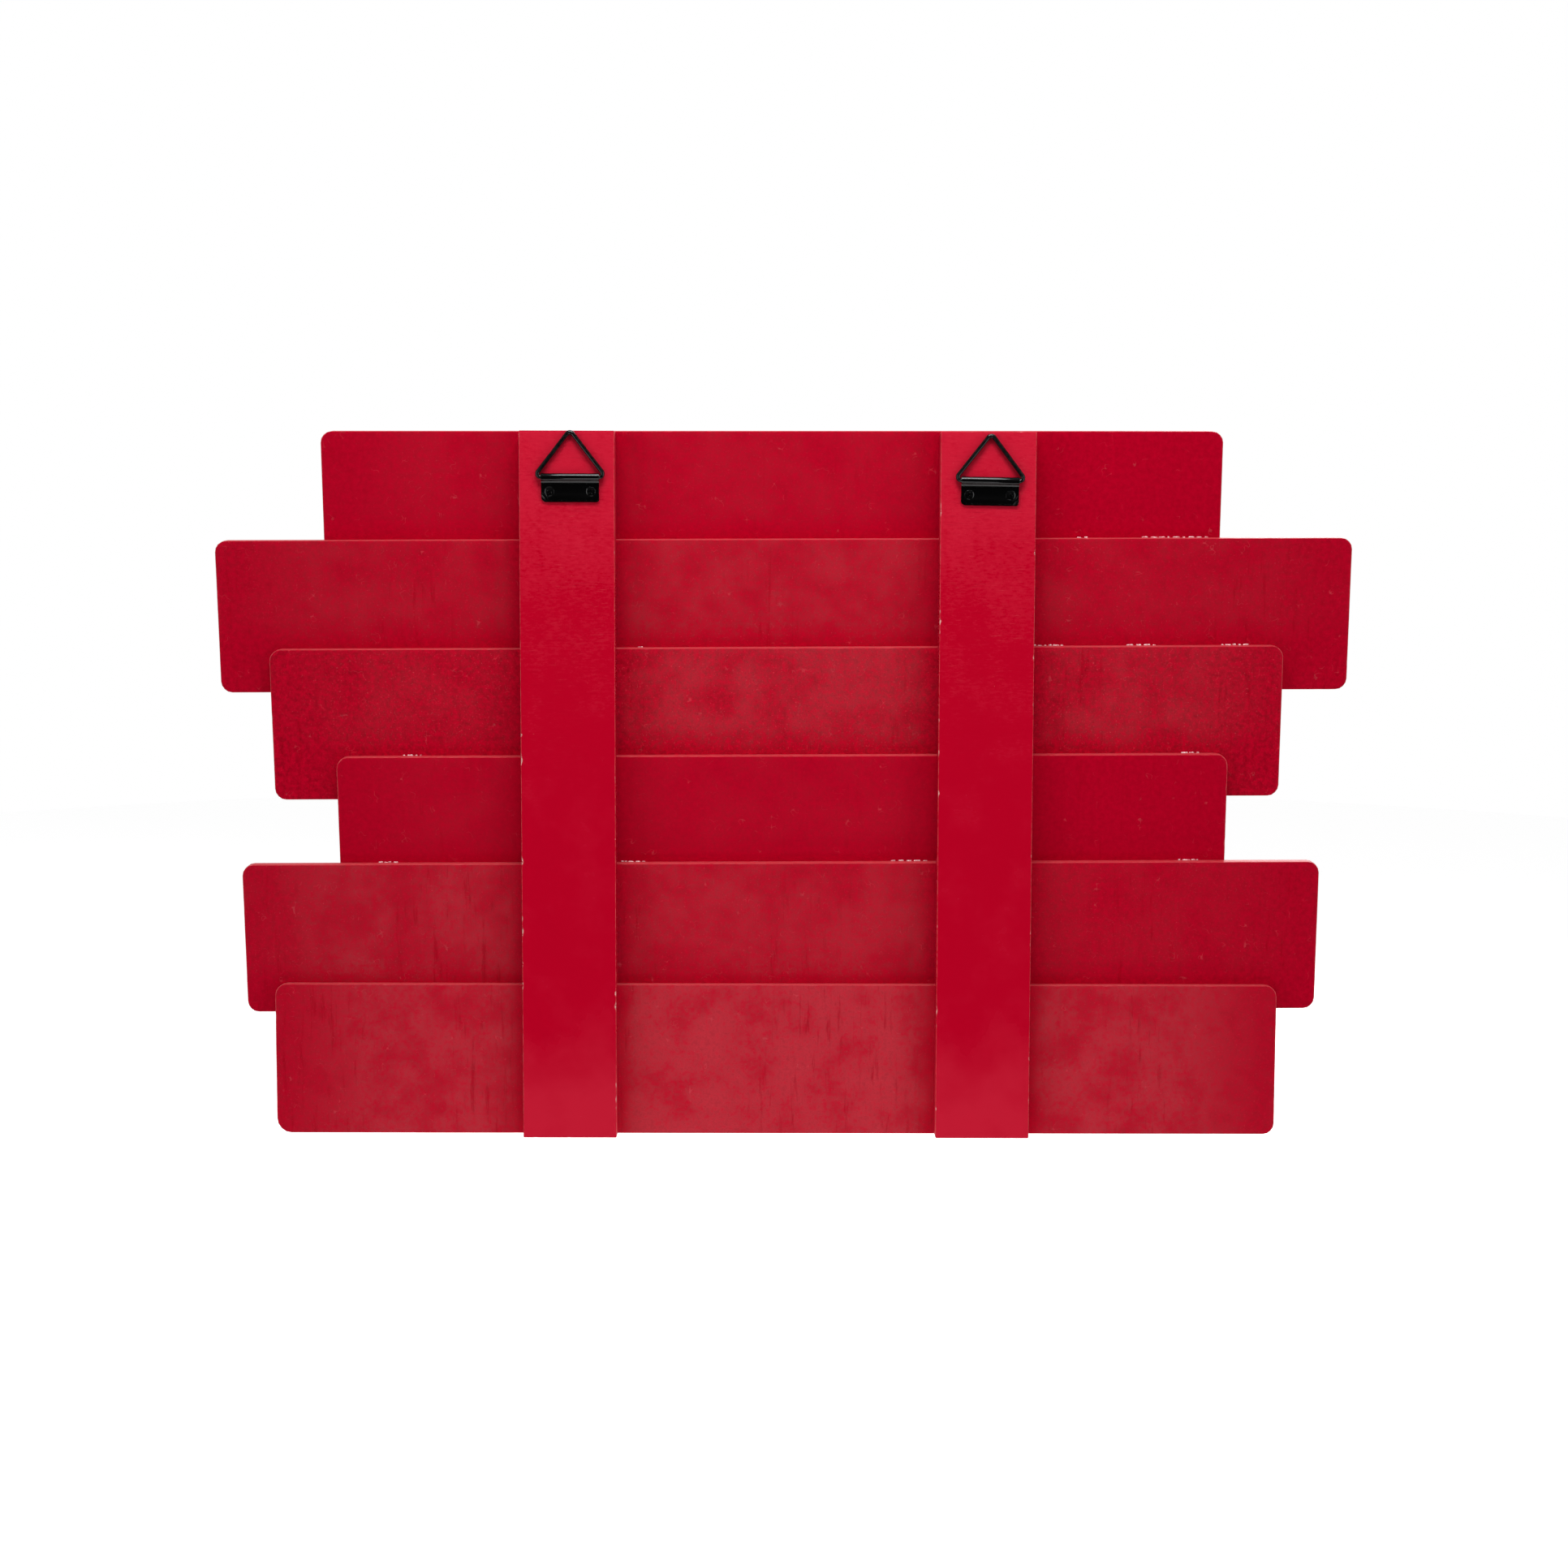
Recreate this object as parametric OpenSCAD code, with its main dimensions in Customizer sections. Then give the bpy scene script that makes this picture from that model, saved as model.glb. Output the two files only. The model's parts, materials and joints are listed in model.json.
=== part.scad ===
// Wall plaque of six lapped boards on two battens, hung by two wire triangle hangers.
// The wall side faces -Y, +Z is up and left means -X, as seen from the wall side.
// The origin is midway between the two hanging points, in the plane of the battens' wall faces.

/* [Boards] */
// Length of each board, from the top one to the bottom one
board_len = [482, 609.6, 545.6, 481.4, 583.8, 545.2]; // [400:0.1:640]
// Sideways place of each board's middle, from the second board's middle
board_shift = [-6.4, 0, -3.8, -0.6, -1.1, -3.5]; // [-15:0.1:15]
// Rise of each board along its length, in degrees, as the maker laid it
board_skew = [0.15, 0.31, 0.37, 0.34, 0.31, 0]; // [-0.4:0.01:0.4]
// Drop from each board's top edge to the top edge of the board below it
board_step = [57.4, 58.1, 58.3, 58.3, 66.6]; // [54:0.1:70]
// Height of every board
board_h = 82; // [78:0.5:90]
// Thickness of every board
board_t = 6; // [4:0.5:8]
// Radius of the boards' corners
corner_r = 6; // [3:0.5:10]
// Radius of the bottom board's lower left corner, which was sanded further
sanded_r = 8; // [3:0.5:10]

/* [Battens] */
// Width of a batten
batten_w = 50.5; // [45:0.5:60]
// Thickness of a batten
batten_t = 12; // [12:0.5:20]
// Length of a batten
batten_len = 379.9; // [360:0.1:400]
// Middle of each batten, from the second board's middle
batten_x = [-115.1, 108.2]; // [-150:0.1:150]
// Height of the battens' top end below the middle of the top board's top edge
batten_drop = 0.5; // [0:0.1:5]

/* [Glue] */
// Thickness of the glue between two parts
glue_t = 0.2; // [0.15:0.05:0.4]
// Width of the squeezed-out glue in a seam
bead = 1; // [0.5:0.1:1.5]

/* [Hangers] */
// Middle of each hanger, from the second board's middle
hanger_x = [-113.2, 109.1]; // [-130:0.1:130]
// Height of each hanging point above the mean of the two
hanger_rise = [0.65, -0.65]; // [-2:0.05:2]
// Turn of each hanger on its batten, clockwise from the wall side, in degrees
hanger_turn = [0, 0.8]; // [-2:0.1:2]
// Height of the hanging points below the top board's top edge
hang_drop = 3.3; // [3:0.1:20]
// Width of a strap
strap_w = 30.6; // [28:0.1:34]
// Thickness of the strap's sheet
sheet_t = 0.8; // [0.6:0.1:1]
// Diameter of the ring's wire
wire_d = 2.3; // [2:0.1:2.6]
// Height from the ring's bar to its top, between middles of the wire
ring_h = 23.5; // [20:0.5:30]
// Gap between the wire and the strap's loop, on the radius
loop_gap = 0.05; // [0.03:0.01:0.1]
// Distance between a hanger's two screws
screw_span = 21.9; // [18:0.1:24]
// Diameter of a screw's head
head_d = 4.9; // [4.4:0.1:5.4]
// Length of a screw under the outside of its head
screw_len = 10; // [8:0.5:11]

/* [Hidden] */
$fn = 64;

BOARD_RED = [0.66, 0.07, 0.15];
BATTEN_RED = [0.72, 0.01, 0.13];
BLACK = [0.05, 0.05, 0.05];
GLUE = [0.85, 0.55, 0.55];

LAST = len(board_len) - 1;
LEFT = 0;
RIGHT = 1;
// The hanging points' mean lies on X = 0
origin_x = (hanger_x[LEFT] + hanger_x[RIGHT]) / 2;
// The plane of the boards' top rear edges
board_y = batten_t + glue_t;
// Room left round the glue, so that it only meets its neighbours
ease = 0.02;

// Sum of the first n steps
function drop(n) = n == 0 ? 0 : board_step[n - 1] + drop(n - 1);
function top_z(i) = hang_drop - drop(i);
// A board leans until its rear face rests on the top front edge of the board below it
function lean(i) = i == LAST ? 0 :
    let (below = lean(i + 1),
        rise = board_step[i] - board_t * sin(below),
        reach = board_t * cos(below))
    atan2(reach, rise) + asin(glue_t / norm([rise, reach]));

// Places children in board i's own frame: X along it, Z up from its top edge, Y through it
module on_board(i) {
    translate([-origin_x, board_y, top_z(i)])
    rotate([lean(i), 0, 0])
    rotate([0, -board_skew[i], 0])
    translate([board_shift[i], 0, 0])
    children();
}

// Raises a flat shape drawn in X and Z to a plate from Y = 0 to Y = t
module plate(t) {
    translate([0, t, 0]) rotate([90, 0, 0]) linear_extrude(t) children();
}

// Draws a shape in Y and Z and runs it along X, centred
module along_x(w) {
    rotate([90, 0, 90]) linear_extrude(w, center = true) children();
}

// A w by h rectangle whose top edge is at 0, with corner radii [top left, top right, low right, low left]
module rounded(w, h, r) {
    corners = [[-1, 0, 1, -1], [1, 0, -1, -1], [1, -h, -1, 1], [-1, -h, 1, 1]];
    difference() {
        translate([-w / 2, -h]) square([w, h]);
        for (i = [0:3]) translate([corners[i][0] * w / 2, corners[i][1]]) difference() {
            square(2 * r[i], center = true);
            translate([corners[i][2] * r[i], corners[i][3] * r[i]]) circle(r[i]);
        }
    }
}

module board(i) {
    low_left = i == LAST ? sanded_r : corner_r;
    color(BOARD_RED) on_board(i) plate(board_t)
        rounded(board_len[i], board_h, [corner_r, corner_r, corner_r, low_left]);
}

// The glue in the lap under board i, drawn in the frame of the board below: a film down the front face of
// that board, and short beads that came out along its top edge. runs holds each bead's middle and length,
// and the lowest lap has none.
function lap_runs(i) = [
    [[160.5, 6], [210.4, 36]],
    [[-77.3, 3], [142, 18], [193, 16], [243.8, 15]],
    [[-201, 10], [220.5, 10]],
    [[-214.5, 11], [-80.6, 15], [68.6, 20], [220.5, 11]],
    []][i];

module lap_glue(i) {
    below = i + 1;
    // Two boards that lean within a hundredth of a degree count as parallel
    opening = let (angle = lean(i) - lean(below)) angle < 0.01 ? 0 : angle;
    depth = board_h - board_step[i] - 4;
    front = board_t + ease;
    rear = board_t + glue_t - ease;
    tail = depth * tan(max(0, opening));
    shared = min(board_len[i], board_len[below]) - 4 * corner_r;
    middle = board_shift[i] - board_shift[below];
    color(GLUE) on_board(below) {
        translate([middle / 2, 0, 0]) along_x(shared)
            polygon([[front, -ease], [rear, -ease], [rear + tail, -depth], [front, -depth]]);
        for (run = lap_runs(i)) translate([run[0] - board_shift[below], 0, 0]) along_x(run[1])
            polygon([[front, -bead], [rear, -bead], [rear - bead * tan(opening), bead],
                [front - bead, ease], [front, ease]]);
    }
}

// Where each batten crosses each board, a wedge of glue fills the space between them
module batten_glue(side) {
    color(GLUE) for (i = [0:LAST]) {
        upper = 3;
        lower = 26;
        gap_at = function(s) (glue_t - ease) / cos(lean(i)) + s * tan(lean(i));
        translate([batten_x[side] - origin_x, batten_t, top_z(i)]) along_x(batten_w - 10)
            polygon([[0, -upper], [gap_at(upper), -upper], [gap_at(lower), -lower], [0, -lower]]);
    }
}

module batten(side) {
    color(BATTEN_RED) difference() {
        translate([batten_x[side] - origin_x - batten_w / 2, 0, hang_drop - batten_drop - batten_len])
            cube([batten_w, batten_t, batten_len]);
        on_hanger(side) for (end = [-1, 1]) at_screw(end)
            rotate([-90, 0, 0]) cylinder(r = pilot_r, h = screw_len);
    }
}

// Hanger: its own frame has X along the ring's bar, Z up and Y = 0 on the batten's wall face
wire_r = wire_d / 2;
loop_r = wire_r + loop_gap;
knuckle_r = loop_r + sheet_t;
// Height of the ring's bar below its hanging point, which is the underside of the wire at the top
hang_h = ring_h - wire_r;
// Screw line, sheet ends and the fold, below the bar
screw_down = 7.5;
back_down = 13.1;
front_down = 12.3;
fold_down = 3.4;
// Radii of the two layers' lower corners, left and right
back_r = [2.6, 1.6];
front_r = [3.8, 1.2];
// The screw: shank, thread, countersunk head and the hole that takes it
shank_r = 1.25;
root_r = 0.95;
pilot_r = 1;
pitch = 1.1;
hole_r = 1.45;
head_r = head_d / 2;
head_h = 1.2;
dome_h = 0.35;

module on_hanger(side) {
    translate([hanger_x[side] - origin_x, 0, hanger_rise[side] - hang_h])
        rotate([0, hanger_turn[side], 0]) children();
}

module at_screw(end) {
    translate([end * screw_span / 2, 0, -screw_down]) children();
}

// The strap seen from its end: one sheet folded round the ring's bar, with both ends under the screws
module back_layer() {
    translate([-sheet_t, -back_down]) square([sheet_t, back_down]);
}

module front_layer() {
    translate([-2 * sheet_t, -front_down]) square([sheet_t, front_down - fold_down]);
    polygon([[-sheet_t, -fold_down], [-2 * sheet_t, -fold_down], [-2 * knuckle_r, 0], [sheet_t - 2 * knuckle_r, 0]]);
    translate([-knuckle_r, 0]) circle(knuckle_r);
}

module strap_outline(down, r, t) {
    top = knuckle_r + 1;
    translate([0, -t, top]) plate(t) rounded(strap_w, top + down, [0.1, 0.1, r[1], r[0]]);
}

module strap(side) {
    reach = 3 * knuckle_r;
    color(BLACK) on_hanger(side) difference() {
        union() {
            intersection() {
                along_x(strap_w) back_layer();
                strap_outline(back_down, back_r, reach);
            }
            intersection() {
                along_x(strap_w) front_layer();
                strap_outline(front_down, front_r, reach);
            }
        }
        translate([-strap_w, -knuckle_r, 0]) rotate([0, 90, 0]) cylinder(r = loop_r, h = 2 * strap_w);
        for (end = [-1, 1]) at_screw(end) {
            translate([0, 1, 0]) rotate([90, 0, 0]) cylinder(r = hole_r, h = reach);
            translate([0, -2 * sheet_t, 0]) rotate([-90, 0, 0])
                cylinder(r1 = head_r + ease, r2 = hole_r, h = head_h);
        }
    }
}

// The ring: a bar and two sides of equal slope, joined by three bends. Drawn in X and Z about the bar.
corner_bend = 1.8;
top_bend = 2;
bend_x = strap_w / 2 + 0.15;
// Clearance left between the ring's top and the batten where the ring leans back on it
rest_gap = 0.25;
ring_lean = asin((knuckle_r - wire_r - rest_gap) / ring_h);
rise_z = ring_h - top_bend - corner_bend;
// Slope of the line between the bends' centres, and how far the wire's line turns from it
slope = atan2(rise_z, bend_x) + asin((top_bend - corner_bend) / norm([bend_x, rise_z]));
side_len = sqrt(bend_x * bend_x + rise_z * rise_z - pow(top_bend - corner_bend, 2));

// A bend of the wire: radius r, over angle a, starting straight down from its centre
module bend(r, a) {
    rotate([90, 0, 0]) rotate([0, 0, -90]) rotate_extrude(angle = a) translate([r, 0]) circle(wire_r);
}

// The wire's straight length l along +X, with a fine raised line at each end where the bends begin
module straight(l) {
    mark_w = 0.1;
    rotate([0, 90, 0]) cylinder(r = wire_r, h = l);
    for (x = [0, l]) translate([x - mark_w / 2, 0, 0]) rotate([0, 90, 0])
        cylinder(r = wire_r + mark_w / 10, h = mark_w);
}

module ring(side) {
    turn = 180 - slope;
    color(BLACK) on_hanger(side) translate([0, -knuckle_r, 0]) rotate([-ring_lean, 0, 0]) {
        translate([-bend_x, 0, 0]) straight(2 * bend_x);
        translate([0, 0, ring_h - top_bend]) rotate([0, -turn, 0]) bend(top_bend, 2 * slope);
        for (m = [0, 1]) mirror([m, 0, 0]) translate([bend_x, 0, corner_bend]) {
            bend(corner_bend, turn);
            rotate([0, -turn, 0]) translate([0, 0, -corner_bend]) straight(side_len);
        }
    }
}

// Screw along +Y with its head's rim flush with the strap: points of its outline as [radius, depth]
module screw(side, end) {
    tip = 2;
    turns = floor((screw_len - head_h - tip - 0.6) / pitch);
    start = head_h + 0.4;
    thread = [for (k = [0:turns - 1]) each [[root_r, start + k * pitch], [shank_r, start + (k + 0.5) * pitch]]];
    outline = concat([[0, 0], [head_r, 0], [shank_r, head_h]], thread,
        [[root_r, start + turns * pitch], [root_r, screw_len - tip], [0, screw_len]]);
    dome_r = (head_r * head_r + dome_h * dome_h) / (2 * dome_h);
    color(BLACK) on_hanger(side) at_screw(end) translate([0, -2 * sheet_t, 0]) difference() {
        union() {
            rotate([-90, 0, 0]) rotate_extrude() polygon(outline);
            rotate([90, 0, 0]) intersection() {
                translate([0, 0, dome_h - dome_r]) sphere(dome_r);
                cylinder(r = head_r, h = 1);
            }
        }
        rotate([0, 45 + 20 * end, 0]) for (quarter = [0, 90])
            rotate([0, quarter, 0]) cube([2.7, 1.5, 0.6], center = true);
    }
}

board(0);  // board_1_top
board(1);  // board_2
board(2);  // board_3
board(3);  // board_4
board(4);  // board_5
board(5);  // board_6_bottom
batten(LEFT);  // batten_left
batten(RIGHT);  // batten_right
lap_glue(0);  // lap_glue_1
lap_glue(1);  // lap_glue_2
lap_glue(2);  // lap_glue_3
lap_glue(3);  // lap_glue_4
lap_glue(4);  // lap_glue_5
batten_glue(LEFT);  // batten_glue_left
batten_glue(RIGHT);  // batten_glue_right
strap(LEFT);  // hanger_strap_left
strap(RIGHT);  // hanger_strap_right
ring(LEFT);  // hanger_ring_left
ring(RIGHT);  // hanger_ring_right
screw(LEFT, -1);  // screw_left_outer
screw(LEFT, 1);  // screw_left_inner
screw(RIGHT, -1);  // screw_right_inner
screw(RIGHT, 1);  // screw_right_outer
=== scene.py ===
"""Looks of the wall plaque: painted boards lapped on two battens, hung by wire triangle hangers."""

import json
import math
import random

import bmesh
import bpy
from mathutils import Matrix, Vector, noise


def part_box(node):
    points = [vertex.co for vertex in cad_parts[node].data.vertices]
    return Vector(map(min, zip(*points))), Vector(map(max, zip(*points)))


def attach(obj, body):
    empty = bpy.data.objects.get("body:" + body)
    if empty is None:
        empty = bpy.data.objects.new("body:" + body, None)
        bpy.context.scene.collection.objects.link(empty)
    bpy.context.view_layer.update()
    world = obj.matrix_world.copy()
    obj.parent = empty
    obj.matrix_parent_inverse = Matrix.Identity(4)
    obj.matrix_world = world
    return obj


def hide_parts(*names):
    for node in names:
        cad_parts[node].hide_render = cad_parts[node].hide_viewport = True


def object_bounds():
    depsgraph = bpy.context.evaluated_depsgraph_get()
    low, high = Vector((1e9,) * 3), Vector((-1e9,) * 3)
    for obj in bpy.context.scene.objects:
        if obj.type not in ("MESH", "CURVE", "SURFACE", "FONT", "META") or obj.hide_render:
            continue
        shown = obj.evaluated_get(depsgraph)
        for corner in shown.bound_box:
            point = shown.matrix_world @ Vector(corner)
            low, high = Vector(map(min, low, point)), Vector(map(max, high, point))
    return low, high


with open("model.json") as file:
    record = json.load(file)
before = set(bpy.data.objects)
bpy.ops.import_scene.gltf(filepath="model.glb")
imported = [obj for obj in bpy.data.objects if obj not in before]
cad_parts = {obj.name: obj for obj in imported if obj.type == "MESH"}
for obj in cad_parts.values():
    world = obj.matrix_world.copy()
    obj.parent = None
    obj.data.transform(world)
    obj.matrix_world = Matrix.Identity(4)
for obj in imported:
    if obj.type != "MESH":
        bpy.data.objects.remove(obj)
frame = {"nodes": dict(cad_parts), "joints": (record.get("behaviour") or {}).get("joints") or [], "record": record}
cad_low, cad_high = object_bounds()

BODIES = frame["record"]["behaviour"]["bodies"]
BOARDS = ["board_1_top", "board_2", "board_3", "board_4", "board_5", "board_6_bottom"]
SIDES = ["left", "right"]
MM = 0.001
QUARTER = math.pi / 2

# Linear colours of the paint and of the wood under it
DEEP_RED = (0.430, 0.0002, 0.0155, 1)
# Dusty paint together with a painted sheen of light on it: pinker and less deep
DUST_AND_SHEEN_RED = (0.470, 0.0260, 0.0410, 1)
DARK_RED = (0.190, 0.0010, 0.0070, 1)
STREAK_RED = (0.330, 0.0006, 0.0095, 1)
PALE_RED = (0.600, 0.0800, 0.1000, 1)
# EDGE_RED: worn arrises, and a board's edge, which is partly rougher paint and partly a painted sheen
EDGE_RED = (0.560, 0.0750, 0.0850, 1)
BATTEN_RED = (0.455, 0.0002, 0.0155, 1)
# The batten's paler paint, together with the painted sheen towards its ends
BATTEN_SHEEN_AND_PALE = (0.530, 0.0085, 0.0300, 1)
WORN_WOOD = (0.520, 0.0900, 0.0850, 1)
CHIP = (0.700, 0.4200, 0.3800, 1)

# Linear colours of the hangers, the glue and the studio's floor
LACQUER = (0.0010, 0.0010, 0.0011, 1)
LACQUER_DUST = (0.006, 0.005, 0.005, 1)
RUBBED_STEEL = (0.28, 0.27, 0.26, 1)
SCUFFED_STEEL = (0.12, 0.115, 0.11, 1)
TINTED_GLUE = (0.62, 0.20, 0.24, 1)
# Milky glue, and at the same time painted glints of light on the beads
MILKY_GLINT_GLUE = (0.92, 0.74, 0.74, 1)
FLOOR_PALE = (0.90, 0.90, 0.90, 1)
FLOOR_WHITE = (0.94, 0.94, 0.94, 1)


# ---------------------------------------------------------------- camera, light and floor

# How bright the studio is towards the wall side, the display side and straight up
WORLD_FRONT = 0.02
WORLD_BACK = 0.55
WORLD_TOP = 0.25
LENS_MM = 56.34
SENSOR_MM = 36
FARTHEST_SEEN = 50
CAMERA_PLACE = Vector((-0.0031, -1.3082, -0.0672))
CAMERA_DOWN = math.radians(5.12)
CAMERA_HEADING = math.radians(-0.241)
CAMERA_ROLL = math.radians(0.15)


def make_camera():
    data = bpy.data.cameras.new("photo_camera")
    data.lens = LENS_MM
    data.sensor_width = SENSOR_MM
    data.clip_end = FARTHEST_SEEN
    camera = bpy.data.objects.new("photo_camera", data)
    turn = Matrix.Rotation(CAMERA_HEADING, 4, "Z") @ Matrix.Rotation(QUARTER - CAMERA_DOWN, 4, "X")
    camera.matrix_world = Matrix.Translation(CAMERA_PLACE) @ turn @ Matrix.Rotation(CAMERA_ROLL, 4, "Z")
    bpy.context.scene.collection.objects.link(camera)
    bpy.context.scene.camera = camera


def soft_light(name, place, target, size, power):
    """A square softbox at place, turned to target."""
    data = bpy.data.lights.new(name, "AREA")
    data.shape = "RECTANGLE"
    data.size, data.size_y = size
    data.energy = power
    light = bpy.data.objects.new(name, data)
    light.location = place
    light.rotation_euler = (Vector(target) - Vector(place)).to_track_quat("-Z", "Y").to_euler()
    light.visible_camera = False
    bpy.context.scene.collection.objects.link(light)


def studio_brightness(nodes, links):
    """How bright the studio is in each direction, as a socket."""
    place = nodes.new("ShaderNodeTexCoord")
    split = nodes.new("ShaderNodeSeparateXYZ")
    level = nodes.new("ShaderNodeMapRange")
    level.inputs["From Min"].default_value = 0
    level.inputs["From Max"].default_value = 1
    level.inputs["To Min"].default_value = WORLD_FRONT
    level.inputs["To Max"].default_value = WORLD_BACK
    above = nodes.new("ShaderNodeMath")
    above.operation = "MAXIMUM"
    above.inputs[1].default_value = 0
    high = nodes.new("ShaderNodeMath")
    high.operation = "MULTIPLY"
    high.inputs[1].default_value = WORLD_TOP
    total = nodes.new("ShaderNodeMath")
    links.new(place.outputs["Generated"], split.inputs[0])
    links.new(split.outputs["Y"], level.inputs["Value"])
    links.new(split.outputs["Z"], above.inputs[0])
    links.new(above.outputs[0], high.inputs[0])
    links.new(level.outputs[0], total.inputs[0])
    links.new(high.outputs[0], total.inputs[1])
    return total.outputs[0]


def make_world():
    """A white studio: it shows white, and lights the wall side less than the top and the back."""
    world = bpy.data.worlds.new("studio")
    world.use_nodes = True
    bpy.context.scene.world = world
    nodes, links = world.node_tree.nodes, world.node_tree.links
    nodes.clear()
    out = nodes.new("ShaderNodeOutputWorld")
    shown = nodes.new("ShaderNodeBackground")
    lit = nodes.new("ShaderNodeBackground")
    switch = nodes.new("ShaderNodeMixShader")
    ray = nodes.new("ShaderNodeLightPath")
    shown.inputs["Color"].default_value = (1, 1, 1, 1)
    links.new(studio_brightness(nodes, links), lit.inputs["Strength"])
    links.new(ray.outputs["Is Camera Ray"], switch.inputs["Fac"])
    links.new(lit.outputs[0], switch.inputs[1])
    links.new(shown.outputs[0], switch.inputs[2])
    links.new(switch.outputs[0], out.inputs["Surface"])


# The floor is a disc below the object and behind it, so that the straps don't mirror it
FLOOR_DROP = 0.30
FLOOR_R = 2.8
FLOOR_BACK = 2.6
FLOOR_SIDES = 96
FLOOR_GLOW = 0.75


def make_floor():
    mesh = bpy.data.meshes.new("studio_floor")
    shape = bmesh.new()
    bmesh.ops.create_circle(shape, cap_ends=True, radius=FLOOR_R, segments=FLOOR_SIDES)
    shape.to_mesh(mesh)
    shape.free()
    floor = bpy.data.objects.new("studio_floor", mesh)
    floor.location = (0, FLOOR_BACK, cad_low.z - FLOOR_DROP)
    bpy.context.scene.collection.objects.link(floor)
    look = Look("floor_white")
    grain = look.noise(look.place, 40, 3)
    look.colour(look.mix(grain, FLOOR_PALE, FLOOR_WHITE))
    look.finish(roughness=0.8, specular=0.1)
    look.shader.inputs["Emission Color"].default_value = (1, 1, 1, 1)
    look.shader.inputs["Emission Strength"].default_value = FLOOR_GLOW
    mesh.materials.append(look.material)


def make_studio():
    """Softboxes low and high in front, one at each side, one overhead and one for the display side."""
    bpy.context.scene.view_settings.view_transform = "Standard"
    make_world()
    middle = (cad_low + cad_high) / 2
    soft_light("high_middle", (0, -0.55, 0.85), middle, (0.8, 0.16), 11.5)
    soft_light("low_middle", (0, -0.9, -1.1), middle, (0.7, 0.3), 2.5)
    soft_light("left_box", (-1.3, -0.9, -0.1), middle, (0.9, 1.6), 10.5)
    soft_light("right_box", (1.3, -0.9, -0.1), middle, (0.9, 1.6), 10.5)
    soft_light("top_strip", (0, -0.1, 1.1), middle, (0.7, 0.5), 5)
    soft_light("back_box", (1.2, 1.8, 0.9), middle, (1.6, 1.6), 30)


# ---------------------------------------------------------------- materials

class Look:
    """One material's nodes. Each call returns the socket that carries its result."""

    def __init__(self, name):
        self.material = bpy.data.materials.new(name)
        self.material.use_nodes = True
        self.tree = self.material.node_tree
        self.shader = self.tree.nodes["Principled BSDF"]
        self.place = self.add("ShaderNodeTexCoord").outputs["Object"]

    def add(self, kind):
        return self.tree.nodes.new(kind)

    def feed(self, socket, value):
        if isinstance(value, bpy.types.NodeSocket):
            self.tree.links.new(value, socket)
        else:
            socket.default_value = value

    def stretched(self, scale, shift=(0, 0, 0)):
        """The place on the piece, multiplied by scale along each axis."""
        mapping = self.add("ShaderNodeMapping")
        self.feed(mapping.inputs["Vector"], self.place)
        mapping.inputs["Scale"].default_value = scale
        mapping.inputs["Location"].default_value = shift
        return mapping.outputs[0]

    def noise(self, place, scale, detail=2, roughness=0.5):
        node = self.add("ShaderNodeTexNoise")
        self.feed(node.inputs["Vector"], place)
        node.inputs["Scale"].default_value = scale
        node.inputs["Detail"].default_value = detail
        node.inputs["Roughness"].default_value = roughness
        return node.outputs["Fac"]

    def ramp(self, value, start, end, low=0, high=1):
        """value from start to end becomes low to high, smoothly, and stays there beyond them."""
        node = self.add("ShaderNodeMapRange")
        node.interpolation_type = "SMOOTHSTEP"
        self.feed(node.inputs["Value"], value)
        node.inputs["From Min"].default_value = start
        node.inputs["From Max"].default_value = end
        node.inputs["To Min"].default_value = low
        node.inputs["To Max"].default_value = high
        return node.outputs[0]

    def spread(self, noise_value, low, high):
        """Noise keeps near its middle value: what it mostly reaches becomes low to high."""
        return self.ramp(noise_value, 0.3, 0.7, low, high)

    def math(self, operation, a, b=0.0, clamp=False):
        node = self.add("ShaderNodeMath")
        node.operation = operation
        node.use_clamp = clamp
        self.feed(node.inputs[0], a)
        self.feed(node.inputs[1], b)
        return node.outputs[0]

    def both(self, *values):
        """The product of several masks."""
        result = values[0]
        for value in values[1:]:
            result = self.math("MULTIPLY", result, value)
        return result

    def mix(self, factor, a, b):
        node = self.add("ShaderNodeMix")
        node.data_type = "RGBA"
        self.feed(node.inputs["Factor"], factor)
        self.feed(node.inputs[6], a)
        self.feed(node.inputs[7], b)
        return node.outputs[2]

    def scaled(self, colour, factor):
        """A colour made darker or lighter."""
        node = self.add("ShaderNodeVectorMath")
        node.operation = "SCALE"
        self.feed(node.inputs[0], colour)
        self.feed(node.inputs["Scale"], factor)
        return node.outputs[0]

    def axis(self, name):
        split = self.add("ShaderNodeSeparateXYZ")
        self.feed(split.inputs[0], self.place)
        return split.outputs[name]

    def attribute(self, name):
        node = self.add("ShaderNodeAttribute")
        node.attribute_name = name
        return node.outputs["Fac"]

    def hairs(self, place, scale, width, patches):
        """Thin curved lines, where a noise passes its middle value, in scattered patches."""
        lines = self.math("ABSOLUTE", self.math("SUBTRACT", self.noise(place, scale, 1), 0.5))
        return self.both(self.ramp(lines, width, 0), self.ramp(self.noise(place, patches, 1), 0.60, 0.66))

    def colour(self, socket):
        self.feed(self.shader.inputs["Base Color"], socket)

    def bump(self, height, strength, distance):
        node = self.add("ShaderNodeBump")
        node.inputs["Strength"].default_value = strength
        node.inputs["Distance"].default_value = distance
        self.feed(node.inputs["Height"], height)
        self.feed(self.shader.inputs["Normal"], node.outputs[0])

    def finish(self, roughness, specular, coat=0.0, coat_roughness=0.1):
        self.feed(self.shader.inputs["Roughness"], roughness)
        self.shader.inputs["Specular IOR Level"].default_value = specular
        self.shader.inputs["Coat Weight"].default_value = coat
        self.shader.inputs["Coat Roughness"].default_value = coat_roughness


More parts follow.
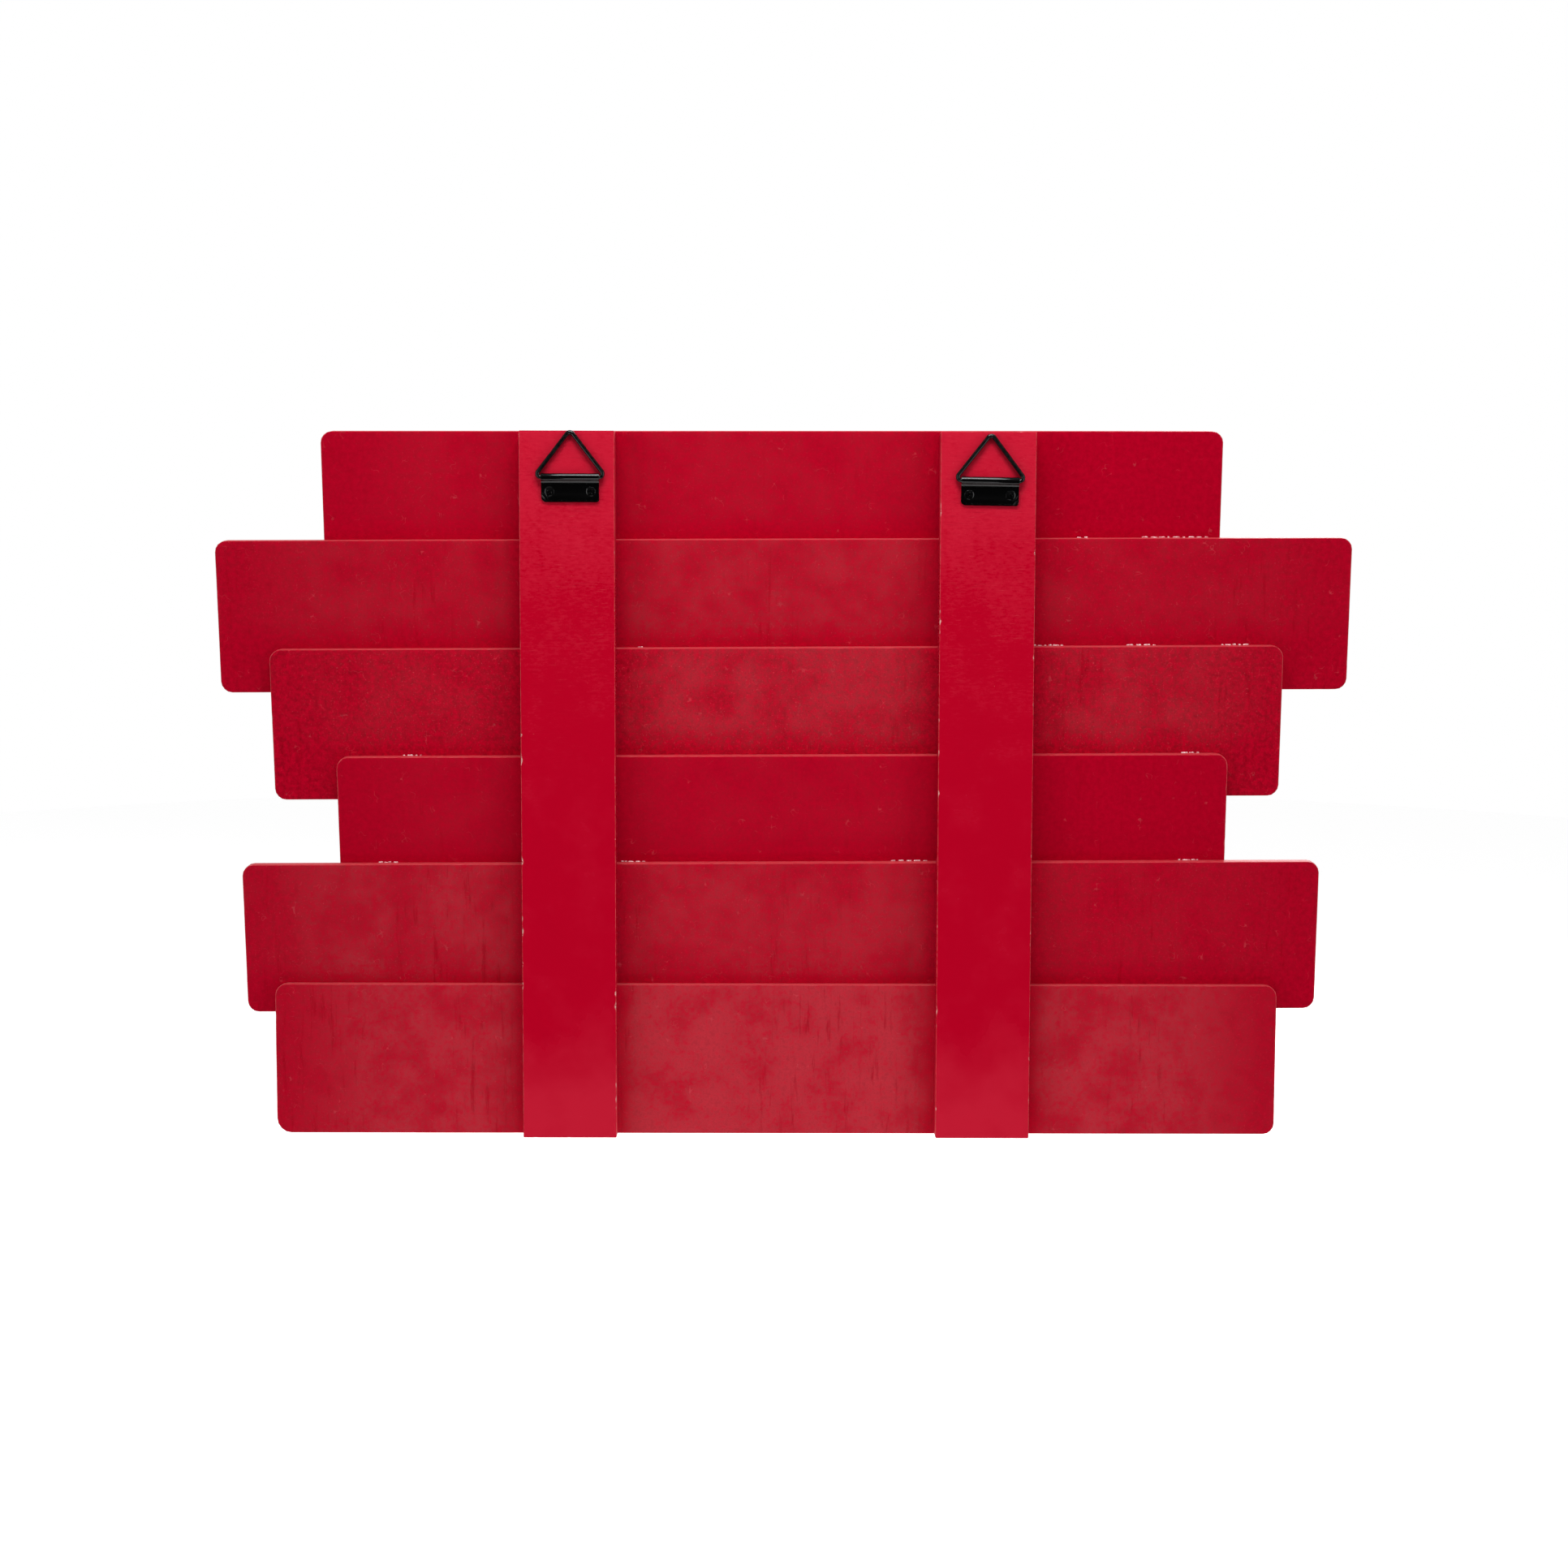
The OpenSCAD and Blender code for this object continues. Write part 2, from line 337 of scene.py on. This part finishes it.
def board_dust_and_sheen(look, size, bare, battens, dust, clouds, mottle):
    """Where a board's paint is dusty and pinker with a painted sheen. dust is how much at its left, middle and
    right.
    There is less towards its ends, less towards the lap below it and the battens as painted shade, and none on
    the display side."""
    left, centre, right = dust
    x, z = look.axis("X"), look.axis("Z")
    amount = look.math("ADD", look.ramp(x, -size.x * 0.30, -size.x * 0.10, left, centre),
                       look.ramp(x, size.x * 0.10, size.x * 0.30, 0, right - centre))
    cloudy = look.spread(clouds, 0.45, 1.55)
    mottled = look.spread(mottle, 0.45, 1.55)
    reach = look.math("ADD", look.math("ABSOLUTE", x), look.spread(clouds, -0.02, 0.02))
    ends = look.ramp(reach, size.x / 2 - 0.045, size.x / 2 - 0.006, 1, 0.25)
    height = look.math("ADD", z, look.spread(mottle, -0.004, 0.004))
    # Painted shade: less dust and sheen just above the lap below, where the lower board's edge shades the face
    foot = look.ramp(height, -bare + 0.002, -bare + 0.016, 0.3, 1)
    wall_side = look.ramp(look.axis("Y"), size.y * 0.3, size.y * 0.7, 1, 0)
    dust_and_sheen = look.both(amount, cloudy, mottled, ends, foot, wall_side)
    for middle, half in battens:
        # Painted shade: less dust and sheen beside each batten, where the batten shades the board
        beside = look.math("ABSOLUTE", look.math("SUBTRACT", x, middle))
        dust_and_sheen = look.both(dust_and_sheen, look.ramp(beside, half + 0.001, half + 0.012, 0.25, 1))
    return dust_and_sheen


def runs_of_paint(look, seed):
    """Upright darker runs, in a few zones along a board."""
    fall = look.noise(look.stretched((300, 300, 28), (seed, 0, 0)), 1, 4, 0.7)
    zones = look.noise(look.stretched((14, 14, 2), (seed * 5, 0, 0)), 1, 1)
    return look.both(look.ramp(fall, 0.54, 0.68), look.ramp(zones, 0.46, 0.60))


def board_paint(name, size, bare, battens, dust, grain, streaks, seed):
    """Matt red paint soaked into fibreboard: dusty with a painted sheen in places, darker towards the ends as
    painted shade, flecked and streaked.
    bare is how much of the board's height isn't lapped by the next one, and battens are where the battens
    cross it, as middles and half widths. grain is how much its brightness varies, and streaks how clear the
    darker runs of paint are."""
    look = Look(name)
    here = look.stretched((1, 1, 1), (seed * 3.7, seed * 1.3, seed * 2.1))
    fine = look.noise(here, 1300, 3, 0.75)
    mottle = look.noise(here, 360, 5, 0.75)
    clouds = look.noise(here, 45, 4, 0.6)
    pale = look.noise(look.stretched((1, 1, 1), (seed, 9, 4)), 1000, 3, 0.75)
    dust_and_sheen = board_dust_and_sheen(look, size, bare, battens, dust, clouds, mottle)
    colour = look.mix(dust_and_sheen, DEEP_RED, DUST_AND_SHEEN_RED)
    colour = look.mix(look.both(runs_of_paint(look, seed), streaks), colour, STREAK_RED)
    rough_spots = look.ramp(dust_and_sheen, 0.0, 0.12, 0.25, 1)
    colour = look.mix(look.both(look.ramp(fine, 0.56, 0.74), rough_spots, grain), colour, DARK_RED)
    colour = look.mix(look.both(look.ramp(pale, 0.58, 0.78), rough_spots, grain), colour, PALE_RED)
    hairs = look.hairs(here, 170, 0.010, 120)
    colour = look.mix(look.both(hairs, 0.30), colour, PALE_RED)
    uneven = look.spread(mottle, 1 + grain * 0.30, 1 - grain * 0.30)
    # Painted shade: the colour is darker towards the board's two ends, as if less light reached them
    painted_end_shade = look.ramp(look.math("ABSOLUTE", look.axis("X")), 0.11, 0.30, 1.0, 0.88)
    colour = look.scaled(colour, look.both(uneven, painted_end_shade))
    # The arrises are worn paler pink; the edge between them is paler pink, partly rougher paint and partly painted
    # sheen
    worn = look.both(look.attribute("wear"), look.ramp(mottle, 0.38, 0.60, 0.4, 1))
    look.colour(look.mix(worn, colour, EDGE_RED))
    look.bump(look.math("ADD", look.both(fine, 0.6), mottle), 0.30, 0.0002)
    look.finish(look.ramp(dust_and_sheen, 0.0, 0.8, 0.30, 0.50), specular=0.04)
    return look.material


def batten_sheen_and_tone(look, size, brushed, seed):
    """Where a batten's paint is lighter: a painted sheen towards its two ends, and tone that varies unevenly and
    in fine brushed patches.
    """
    z = look.axis("Z")
    clouds = look.noise(look.stretched((1, 1, 1), (seed * 3.1, seed, seed * 1.7)), 40, 4, 0.6)
    patches = look.noise(look.stretched((250, 250, 700), (seed * 2, 0, 0)), 1, 4, 0.7)
    # Painted sheen: the paint is lighter towards the batten's top and bottom ends
    upper = look.ramp(z, -0.120, -0.015)
    lower = look.ramp(z, -size.z + 0.075, -size.z + 0.006)
    sheen_and_tone = look.math("MAXIMUM", upper, lower)
    sheen_and_tone = look.math("ADD", sheen_and_tone, look.spread(clouds, -0.22, 0.22))
    return look.math("ADD", sheen_and_tone, look.both(look.spread(patches, -0.45, 0.45), brushed))


def batten_paint(name, size, seed):
    """Satin red paint on smooth wood: a painted sheen towards its ends, fine lines across it, small pale specks,
    and worn arrises.
    """
    look = Look(name)
    here = look.stretched((1, 1, 1), (seed * 3.1, seed, seed * 1.7))
    fine = look.noise(here, 1300, 3, 0.7)
    rub = look.noise(here, 420, 4, 0.7)
    lines = look.noise(look.stretched((90, 90, 1500), (seed, 0, 0)), 1, 4, 0.65)
    specks = look.noise(look.stretched((1, 1, 1), (seed, 5, 2)), 620, 2, 0.6)
    brushed = look.ramp(look.axis("Z"), -0.24, -0.04)
    sheen_and_tone = batten_sheen_and_tone(look, size, brushed, seed)
    # The batten is painted lighter where its painted sheen and its paler tone reach
    colour = look.mix(look.math("MULTIPLY", sheen_and_tone, 1, clamp=True), BATTEN_RED, BATTEN_SHEEN_AND_PALE)
    colour = look.mix(look.both(look.ramp(lines, 0.58, 0.74), brushed, 0.40), colour, PALE_RED)
    colour = look.mix(look.both(look.ramp(lines, 0.44, 0.28), brushed, 0.35), colour, DARK_RED)
    grains = look.both(look.ramp(fine, 0.56, 0.76), look.ramp(brushed, 0, 1, 0.02, 0.28))
    colour = look.mix(grains, colour, PALE_RED)
    colour = look.mix(look.ramp(specks, 0.735, 0.78, 0, 0.75), colour, PALE_RED)
    worn = look.both(look.attribute("wear"), look.ramp(rub, 0.40, 0.56, 0.15, 1))
    colour = look.mix(worn, colour, WORN_WOOD)
    chips = look.both(look.attribute("chip"), look.ramp(rub, 0.42, 0.5))
    look.colour(look.mix(chips, colour, CHIP))
    look.bump(look.math("ADD", look.both(fine, 0.5), lines), 0.12, 0.0002)
    look.finish(look.ramp(sheen_and_tone, 0.0, 1.0, 0.26, 0.42), specular=0.08)
    return look.material


SCUFF_SLANT = math.radians(50)


def scuffs(look, side, corner_x, corner_z):
    """Slanted strokes near a strap's lower corner, which is on the given side (-1 or 1) of its middle."""
    slanted = look.add("ShaderNodeMapping")
    slanted.vector_type = "TEXTURE"
    look.feed(slanted.inputs["Vector"], look.place)
    slanted.inputs["Rotation"].default_value = (0, -side * SCUFF_SLANT, 0)
    slanted.inputs["Scale"].default_value = (1 / 250, 1 / 250, 1 / 2600)
    strokes = look.ramp(look.noise(slanted.outputs[0], 1, 3, 0.6), 0.52, 0.66)
    near_x = look.ramp(look.both(look.axis("X"), side), corner_x - 0.0045, corner_x)
    near_z = look.ramp(look.axis("Z"), corner_z + 0.0065, corner_z + 0.001)
    return look.both(strokes, near_x, near_z, 0.8)


def black_lacquer(name, kept, corner=None):
    """Semi-gloss black lacquer on steel, rubbed grey at its edges. kept is how much of it they have kept,
    and corner is the side and the place of a scuffed lower corner."""
    look = Look(name)
    peel = look.noise(look.place, 900, 2, 0.5)
    dust = look.noise(look.place, 2600, 3, 0.7)
    rub = look.noise(look.place, 700, 4, 0.7)
    colour = look.mix(look.ramp(dust, 0.62, 0.80), LACQUER, LACQUER_DUST)
    worn = look.both(look.attribute("wear"), look.ramp(rub, kept, kept + 0.16))
    colour = look.mix(look.both(worn, 0.8), colour, RUBBED_STEEL)
    if corner:
        colour = look.mix(scuffs(look, *corner), colour, SCUFFED_STEEL)
    look.colour(colour)
    look.bump(peel, 0.08, 0.0002)
    look.finish(look.spread(rub, 0.10, 0.16), specular=0.36)
    return look.material


def set_glue(name):
    """Glue that set clear and glossy, tinted by the paint, and painted milky white in patches: partly milky glue,
    partly painted glints.
    """
    look = Look(name)
    milk_and_glint = look.noise(look.place, 700, 3, 0.6)
    # Painted glints: patches of the glue are whitened, partly milky glue and partly standing in for highlights
    look.colour(look.mix(look.ramp(milk_and_glint, 0.35, 0.65), TINTED_GLUE, MILKY_GLINT_GLUE))
    look.bump(look.noise(look.place, 1200, 2), 0.15, 0.0003)
    look.finish(look.spread(milk_and_glint, 0.10, 0.25), specular=0.5, coat=0.6, coat_roughness=0.05)
    return look.material


# ---------------------------------------------------------------- pieces

def add_piece(name, mesh, matrix, material, node):
    """Places a mesh, gives it its material, puts it on the body of the CAD node it stands in for, and hides that
    node.
    """
    piece = bpy.data.objects.new(name, mesh)
    piece.matrix_world = matrix
    bpy.context.scene.collection.objects.link(piece)
    mesh.materials.append(material)
    body = next(b for b, nodes in BODIES.items() if node in nodes)
    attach(piece, body)
    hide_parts(node)


def plate_frame(node):
    """A plate's own axes and size: X along it, Y through it from its wall side, Z up from its top edge."""
    mesh = frame["nodes"][node].data
    rear = sum((f.normal * f.area for f in mesh.polygons if f.normal.y < -0.9), Vector())
    top = sum((f.normal * f.area for f in mesh.polygons if f.normal.z > 0.98), Vector())
    y_axis = -rear.normalized()
    x_axis = y_axis.cross(top).normalized()
    turn = Matrix((x_axis, y_axis, x_axis.cross(y_axis))).transposed()
    spots = [turn.inverted() @ v.co for v in mesh.vertices]
    low = Vector([min(p[k] for p in spots) for k in range(3)])
    high = Vector([max(p[k] for p in spots) for k in range(3)])
    corner = turn @ Vector(((low.x + high.x) / 2, low.y, high.z))
    return Matrix.Translation(corner) @ turn.to_4x4(), high - low


def outline_points(width, height, radii, step):
    """Points and outward directions round a rectangle with rounded corners and its top edge at 0.
    radii are those of the top left, top right, low right and low left corners."""
    half = width / 2
    signs = [(-1, 0, -1), (1, 0, -1), (1, -height, 1), (-1, -height, 1)]
    arcs = []
    for k, (r, (sx, edge, sz)) in enumerate(zip(radii, signs)):
        middle = Vector((sx * (half - r), edge + sz * r))
        count = max(4, round(r * QUARTER / step))
        angles = [math.pi - (k + j / count) * QUARTER for j in range(count + 1)]
        outs = [Vector((math.cos(a), math.sin(a))) for a in angles]
        arcs.append([(middle + out * r, out) for out in outs])
    points = []
    for arc, following in zip(arcs, arcs[1:] + arcs[:1]):
        points += arc
        start, out = arc[-1]
        way = following[0][0] - start
        count = max(1, round(way.length / step))
        points += [(start + way * (j / count), out) for j in range(1, count)]
    return points


ARC_STEPS = 4
# How far in from its outline a plate's face becomes one flat face
FACE_INSET = 2.6 * MM
# The arrises of a plate's top and bottom edges are this much of the size of the others
LEVEL_ARRIS = 0.35
# A nick this deep shows bare wood all over
FULL_NICK = 0.25 * MM


def arris_radius(spot, out, seed, base, nicks):
    """The arris's radius here: uneven, and wider in a nick. Also how far it is into a nick."""
    here = Vector((spot.x, seed * 0.731, spot.y))
    uneven = 1 + 0.35 * noise.noise(here * 90) + 0.25 * noise.noise(here * 420)
    if abs(out.y) > abs(out.x):
        uneven *= LEVEL_ARRIS
    nick = max(0.0, noise.noise(here * 260 + Vector((0, 7, 0))) - 0.42) * nicks
    return base * uneven + nick, min(1.0, nick / FULL_NICK)


def section(rear, front, thick):
    """Rings of a plate's edge, from its wall face round to its other face, as (inset, depth, wear)."""
    rings = [(FACE_INSET, 0, 0)]
    for j in range(ARC_STEPS + 1):
        a = j / ARC_STEPS * QUARTER
        rings.append((rear * (1 - math.sin(a)), rear * (1 - math.cos(a)), math.sin(2 * a)))
    rings.append((0, thick / 2, 0))
    for j in range(ARC_STEPS + 1):
        a = j / ARC_STEPS * QUARTER
        rings.append((front * (1 - math.cos(a)), thick - front * (1 - math.sin(a)), math.sin(2 * a)))
    rings.append((FACE_INSET, thick, 0))
    return rings


def kept_inside(p, inset, size):
    """p, moved in from the outline's sides by at least inset, so that rings don't cross at a corner."""
    reach = size.x / 2 - inset
    return Vector((min(max(p.x, -reach), reach), min(max(p.y, inset - size.z), -inset)))


def worn_plate(name, size, radii, step, arris, nicks, edge_pale_and_sheen, seed):
    """A plate with rounded corners whose arrises are uneven and nicked. step is the spacing of its points,
    nicks how deep the nicks go, and edge_pale_and_sheen how much paler pink its edge is between the arrises,
    partly rougher paint and partly a painted sheen."""
    verts, wear, chip = [], [], []
    points = outline_points(size.x, size.z, radii, step)
    for spot, out in points:
        rear, rear_nick = arris_radius(spot, out, seed, arris, nicks)
        front, front_nick = arris_radius(spot, out, seed + 50, arris, nicks)
        rings = section(rear, front, size.y)
        for k, (inset, depth, rub) in enumerate(rings):
            p = kept_inside(spot - out * inset, inset, size)
            verts.append((p.x, depth, p.y))
            on_side = 1 < k < len(rings) - 2
            wear.append(max(rub, edge_pale_and_sheen if on_side else 0))
            chip.append(rub * (rear_nick if k < len(rings) / 2 else front_nick))
    count, deep = len(points), len(rings)
    faces = []
    for i in range(count):
        j = (i + 1) % count
        faces += [(i * deep + k, i * deep + k + 1, j * deep + k + 1, j * deep + k) for k in range(deep - 1)]
    faces.append([i * deep for i in range(count)])
    faces.append([i * deep + deep - 1 for i in reversed(range(count))])
    return make_mesh(name, verts, faces, {"wear": wear, "chip": chip})


def make_mesh(name, verts, faces, attributes):
    """A smooth mesh with a number on each vertex for every attribute, as lists under their names."""
    mesh = bpy.data.meshes.new(name)
    mesh.from_pydata(verts, [], faces)
    for key, values in attributes.items():
        mesh.attributes.new(key, "FLOAT", "POINT").data.foreach_set("value", values)
    shape = bmesh.new()
    shape.from_mesh(mesh)
    bmesh.ops.remove_doubles(shape, verts=shape.verts, dist=0.01 * MM)
    bmesh.ops.recalc_face_normals(shape, faces=shape.faces)
    shape.to_mesh(mesh)
    shape.free()
    mesh.shade_smooth()
    return mesh


# Dust and painted sheen of each board's left, middle and right, its grain, and how streaked it is
BOARD_LOOKS = {
    "board_1_top": ((0.11, 0.13, 0.002), 0.45, 0.2),
    "board_2": ((0.20, 0.34, 0.15), 0.60, 0.6),
    "board_3": ((0.18, 0.42, 0.32), 1.00, 0.6),
    "board_4": ((0.09, 0.08, 0.002), 0.40, 0.3),
    "board_5": ((0.46, 0.34, 0.12), 0.60, 0.6),
    "board_6_bottom": ((0.56, 0.86, 0.62), 0.50, 0.6),
}
CORNER_R = 6 * MM
SANDED_R = 8 * MM
# How far below the bottom board's foot its dust and painted sheen would end, if there were more board
PAST_FOOT = 20 * MM


def bare_height(k):
    """How much of a board's height isn't lapped by the next board."""
    low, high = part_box(BOARDS[k])
    if k + 1 == len(BOARDS):
        return high.z - (low.z - PAST_FOOT)
    return high.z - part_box(BOARDS[k + 1])[1].z


def batten_crossings(matrix):
    """Where the battens cross a board, in its own frame, as middles and half widths."""
    places = []
    for side in SIDES:
        low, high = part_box("batten_" + side)
        places.append(((matrix.inverted() @ ((low + high) / 2)).x, (high.x - low.x) / 2))
    return places


def make_boards():
    for k, node in enumerate(BOARDS):
        matrix, size = plate_frame(node)
        low_left = SANDED_R if node == BOARDS[-1] else CORNER_R
        radii = [CORNER_R, CORNER_R, CORNER_R, low_left]
        number = k + 1
        mesh = worn_plate(node, size, radii, step=3 * MM, arris=0.5 * MM, nicks=1.2 * MM, edge_pale_and_sheen=0.65,
                          seed=number)
        name = f"board_paint_{number}"
        battens = batten_crossings(matrix)
        paint = board_paint(name, size, bare_height(k), battens, *BOARD_LOOKS[node], number)
        add_piece(f"painted_board_{number}", mesh, matrix, paint, node)


def make_battens():
    for seed, side in enumerate(SIDES, start=11):
        node = "batten_" + side
        matrix, size = plate_frame(node)
        mesh = worn_plate(node, size, [0.6 * MM] * 4, step=1.2 * MM, arris=0.32 * MM, nicks=2.2 * MM,
                          edge_pale_and_sheen=0.0, seed=seed)
        paint = batten_paint("batten_paint_" + side, size, seed)
        add_piece("painted_batten_" + side, mesh, matrix, paint, node)


def bead_runs(node, matrix):
    """The start and end of each bead of a lap's glue, along the board below."""
    spots = [matrix.inverted() @ v.co for v in frame["nodes"][node].data.vertices]
    ends = sorted({round(p.x, 5) for p in spots if p.z > 0.6 * MM})
    return list(zip(ends[::2], ends[1::2]))


def add_drop(verts, faces, start, end, thick, wide, rng):
    """One long drop of glue in the corner between a board's top edge and the face behind it."""
    around = 10
    along = 9
    first = len(verts)
    lift = wide * rng.uniform(0.05, 0.3)
    for i in range(along + 1):
        u = i / along
        girth = math.sqrt(max(0.0, 1 - (2 * u - 1) ** 2)) * (1 + 0.2 * math.sin(7 * u + lift * 9000))
        x = start + (end - start) * u
        for j in range(around):
            a = 2 * math.pi * j / around
            y = thick - wide * 0.30 + math.cos(a) * wide * 0.42 * girth
            z = lift + math.sin(a) * wide * 0.50 * girth
            verts.append((x, y, z))
    for i in range(along):
        for j in range(around):
            a, b = first + i * around + j, first + i * around + (j + 1) % around
            faces.append((a, b, b + around, a + around))


def add_film(verts, faces, low, high, seed):
    """The thin film of glue between two boards, from its low to its high corner, with an uneven foot."""
    pieces = 60
    first = len(verts)
    for i in range(pieces + 1):
        x = low.x + (high.x - low.x) * i / pieces
        foot = low.z + 1.5 * MM * (1 + noise.noise(Vector((x * 60, seed, 0))))
        for y, z in ((low.y, high.z), (high.y, high.z), (high.y, foot), (low.y, foot)):
            verts.append((x, y, z))
    for i in range(pieces):
        for j in range(4):
            a, b = first + 4 * i + j, first + 4 * i + (j + 1) % 4
            faces.append((a, b, b + 4, a + 4))
    faces.append([first + j for j in range(4)])
    faces.append([first + 4 * pieces + j for j in reversed(range(4))])


# Least and greatest length of a drop, width of a drop, and gap between drops, in millimetres
DROP_LENGTH = (1.2, 4.5)
DROP_WIDTH = (0.7, 1.1)
DROP_GAP = (0.3, 1.6)
SHORTEST_DROP = 0.6 * MM


def glue_mesh(name, runs, film, thick, seed):
    """A lap's glue: drops along each run, and the film behind them, given as (low corner, high corner)."""
    rng = random.Random(seed)
    verts, faces = [], []
    for start, end in runs:
        x = start
        while x < end - SHORTEST_DROP:
            length = min(rng.uniform(*DROP_LENGTH) * MM, end - x)
            add_drop(verts, faces, x, x + length, thick, rng.uniform(*DROP_WIDTH) * MM, rng)
            x += length + rng.uniform(*DROP_GAP) * MM
    add_film(verts, faces, *film, seed)
    return make_mesh(name, verts, faces, {})


FILM_GAP = 0.02 * MM
FILM_BACK = 0.18 * MM
FILM_TOP = 0.1 * MM
# Lower than this, a lap's glue is its film and not its beads
FILM_ONLY = 1.5 * MM
GLUE_BEVEL = 0.8 * MM


def make_glue():
    material = set_glue("set_glue")
    for k in range(1, len(BOARDS)):
        node = f"lap_glue_{k}"
        matrix, size = plate_frame(BOARDS[k])
        spots = [matrix.inverted() @ v.co for v in frame["nodes"][node].data.vertices]
        flat = [p for p in spots if p.z < -FILM_ONLY]
        low = Vector((min(p.x for p in flat), size.y + FILM_GAP, min(p.z for p in flat)))
        high = Vector((max(p.x for p in flat), size.y + FILM_BACK, -FILM_TOP))
        mesh = glue_mesh(node, bead_runs(node, matrix), (low, high), size.y, 40 + k)
        add_piece(f"lap_glue_beads_{k}", mesh, matrix, material, node)
    for side in SIDES:
        node = "batten_glue_" + side
        mesh = softened(node, GLUE_BEVEL, Vector())
        add_piece("batten_glue_bed_" + side, mesh, Matrix.Identity(4), material, node)


# An edge that turns more than SHARP is rounded off, and one that turns more than CREASE isn't shaded smooth
SHARP = math.radians(32)
CREASE = math.radians(40)
NEARLY_FLAT = math.radians(0.5)
# A face at least this big is shaded flat
FLAT_AREA = 60 * MM * MM


def softened(node, width, origin):
    """A copy of a CAD node's mesh, about origin, with its sharp edges rounded off and marked as worn."""
    shape = bmesh.new()
    shape.from_mesh(frame["nodes"][node].data)
    bmesh.ops.remove_doubles(shape, verts=shape.verts, dist=0.002 * MM)
    bmesh.ops.dissolve_limit(shape, angle_limit=NEARLY_FLAT, verts=shape.verts, edges=shape.edges)
    wear = shape.verts.layers.float.new("wear")
    sharp = [e for e in shape.edges if e.is_manifold and e.calc_face_angle(0) > SHARP]
    made = bmesh.ops.bevel(shape, geom=sharp, offset=width, segments=2, profile=0.55, affect="EDGES",
                           clamp_overlap=True)
    rounded = set(made["faces"])
    for vert in shape.verts:
        vert[wear] = float(all(face in rounded for face in vert.link_faces))
    for face in shape.faces:
        face.smooth = face.calc_area() < FLAT_AREA
    bmesh.ops.triangulate(shape, faces=[f for f in shape.faces if len(f.verts) > 4])
    bmesh.ops.translate(shape, vec=-origin, verts=shape.verts)
    mesh = bpy.data.meshes.new(node)
    shape.to_mesh(mesh)
    shape.free()
    mesh.set_sharp_from_angle(angle=CREASE)
    return mesh


def joint_place(side):
    joint = next(j for j in frame["joints"] if j["name"] == side + "_ring_swing")
    return Vector(joint["pos_m"]), Vector(joint["axis"])


STRAP_BEVEL = 0.14 * MM


def make_straps():
    for side, direction in zip(SIDES, (-1, 1)):
        node = "hanger_strap_" + side
        middle, _ = joint_place(side)
        low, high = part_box(node)
        corner = (direction, (high.x - low.x) / 2, low.z - middle.z)
        material = black_lacquer("strap_lacquer_" + side, kept=0.40, corner=corner)
        mesh = softened(node, STRAP_BEVEL, middle)
        add_piece("folded_strap_" + side, mesh, Matrix.Translation(middle), material, node)


WIRE_R = 1.15 * MM
CORNER_BEND = 1.8 * MM
TOP_BEND = 2 * MM
BEND_STEPS = 12
RING_STEP = 1.2 * MM
RING_WEAR = 0.03


def ring_route(half_bar, height):
    """The middle of the ring's wire: a bar and two sides, joined by three bends, as points in X and Z."""
    rise = height - TOP_BEND - CORNER_BEND
    slope = math.atan2(rise, half_bar) + math.asin((TOP_BEND - CORNER_BEND) / math.hypot(half_bar, rise))
    turn = math.pi - slope
    right = []
    for j in range(BEND_STEPS + 1):
        a = -QUARTER + turn * j / BEND_STEPS
        right.append((half_bar + CORNER_BEND * math.cos(a), CORNER_BEND * (1 + math.sin(a))))
    for j in range(BEND_STEPS + 1):
        a = QUARTER - slope + slope * j / BEND_STEPS
        right.append((TOP_BEND * math.cos(a), height - TOP_BEND + TOP_BEND * math.sin(a)))
    left = [(-x, z) for x, z in reversed(right[:-1])]
    return right + left


def ring_mesh(name, route):
    """The wire swept round the closed route."""
    around = 20
    dense = []
    for (x, z), (nx, nz) in zip(route, route[1:] + route[:1]):
        way = Vector((nx - x, nz - z))
        count = max(1, round(way.length / RING_STEP))
        dense += [Vector((x, z)) + way * (j / count) for j in range(count)]
    verts, faces, wear = [], [], []
    total = len(dense)
    for i, spot in enumerate(dense):
        along = (dense[(i + 1) % total] - dense[i - 1]).normalized()
        side = Vector((along.y, -along.x))
        for j in range(around):
            a = 2 * math.pi * j / around
            offset = side * math.cos(a) * WIRE_R
            verts.append((spot.x + offset.x, math.sin(a) * WIRE_R, spot.y + offset.y))
            wear.append(RING_WEAR)
    for i in range(total):
        n = (i + 1) % total
        for j in range(around):
            m = (j + 1) % around
            faces.append((i * around + j, i * around + m, n * around + m, n * around + j))
    return make_mesh(name, verts, faces, {"wear": wear})


def make_rings():
    material = black_lacquer("ring_lacquer", kept=0.44)
    for side in SIDES:
        node = "hanger_ring_" + side
        middle, axis = joint_place(side)
        mesh = frame["nodes"][node].data
        tilt = math.asin(-axis.z)
        spots = [Matrix.Rotation(-tilt, 3, "Y") @ (v.co - middle) for v in mesh.vertices]
        half_bar = max(p.x for p in spots) - CORNER_BEND - WIRE_R
        top = max(spots, key=lambda p: p.z)
        upper = [p for p in spots if p.z > top.z - 0.3 * MM]
        lean = math.atan2(sum(p.y for p in upper) / len(upper), top.z - WIRE_R)
        height = (top.z - WIRE_R) / math.cos(lean)
        place = Matrix.Translation(middle) @ Matrix.Rotation(tilt, 4, "Y") @ Matrix.Rotation(-lean, 4, "X")
        wire = ring_mesh(node, ring_route(half_bar, height))
        add_piece("wire_ring_" + side, wire, place, material, node)


SCREW_BEVEL = 0.12 * MM


def make_screws():
    material = black_lacquer("screw_black", kept=0.30)
    for node in sorted(n for n in frame["nodes"] if n.startswith("screw")):
        low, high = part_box(node)
        middle = Vector(((low.x + high.x) / 2, low.y, (low.z + high.z) / 2))
        mesh = softened(node, SCREW_BEVEL, middle)
        add_piece("cross_" + node, mesh, Matrix.Translation(middle), material, node)


make_camera()
make_studio()
make_floor()
make_boards()
make_battens()
make_glue()
make_straps()
make_rings()
make_screws()
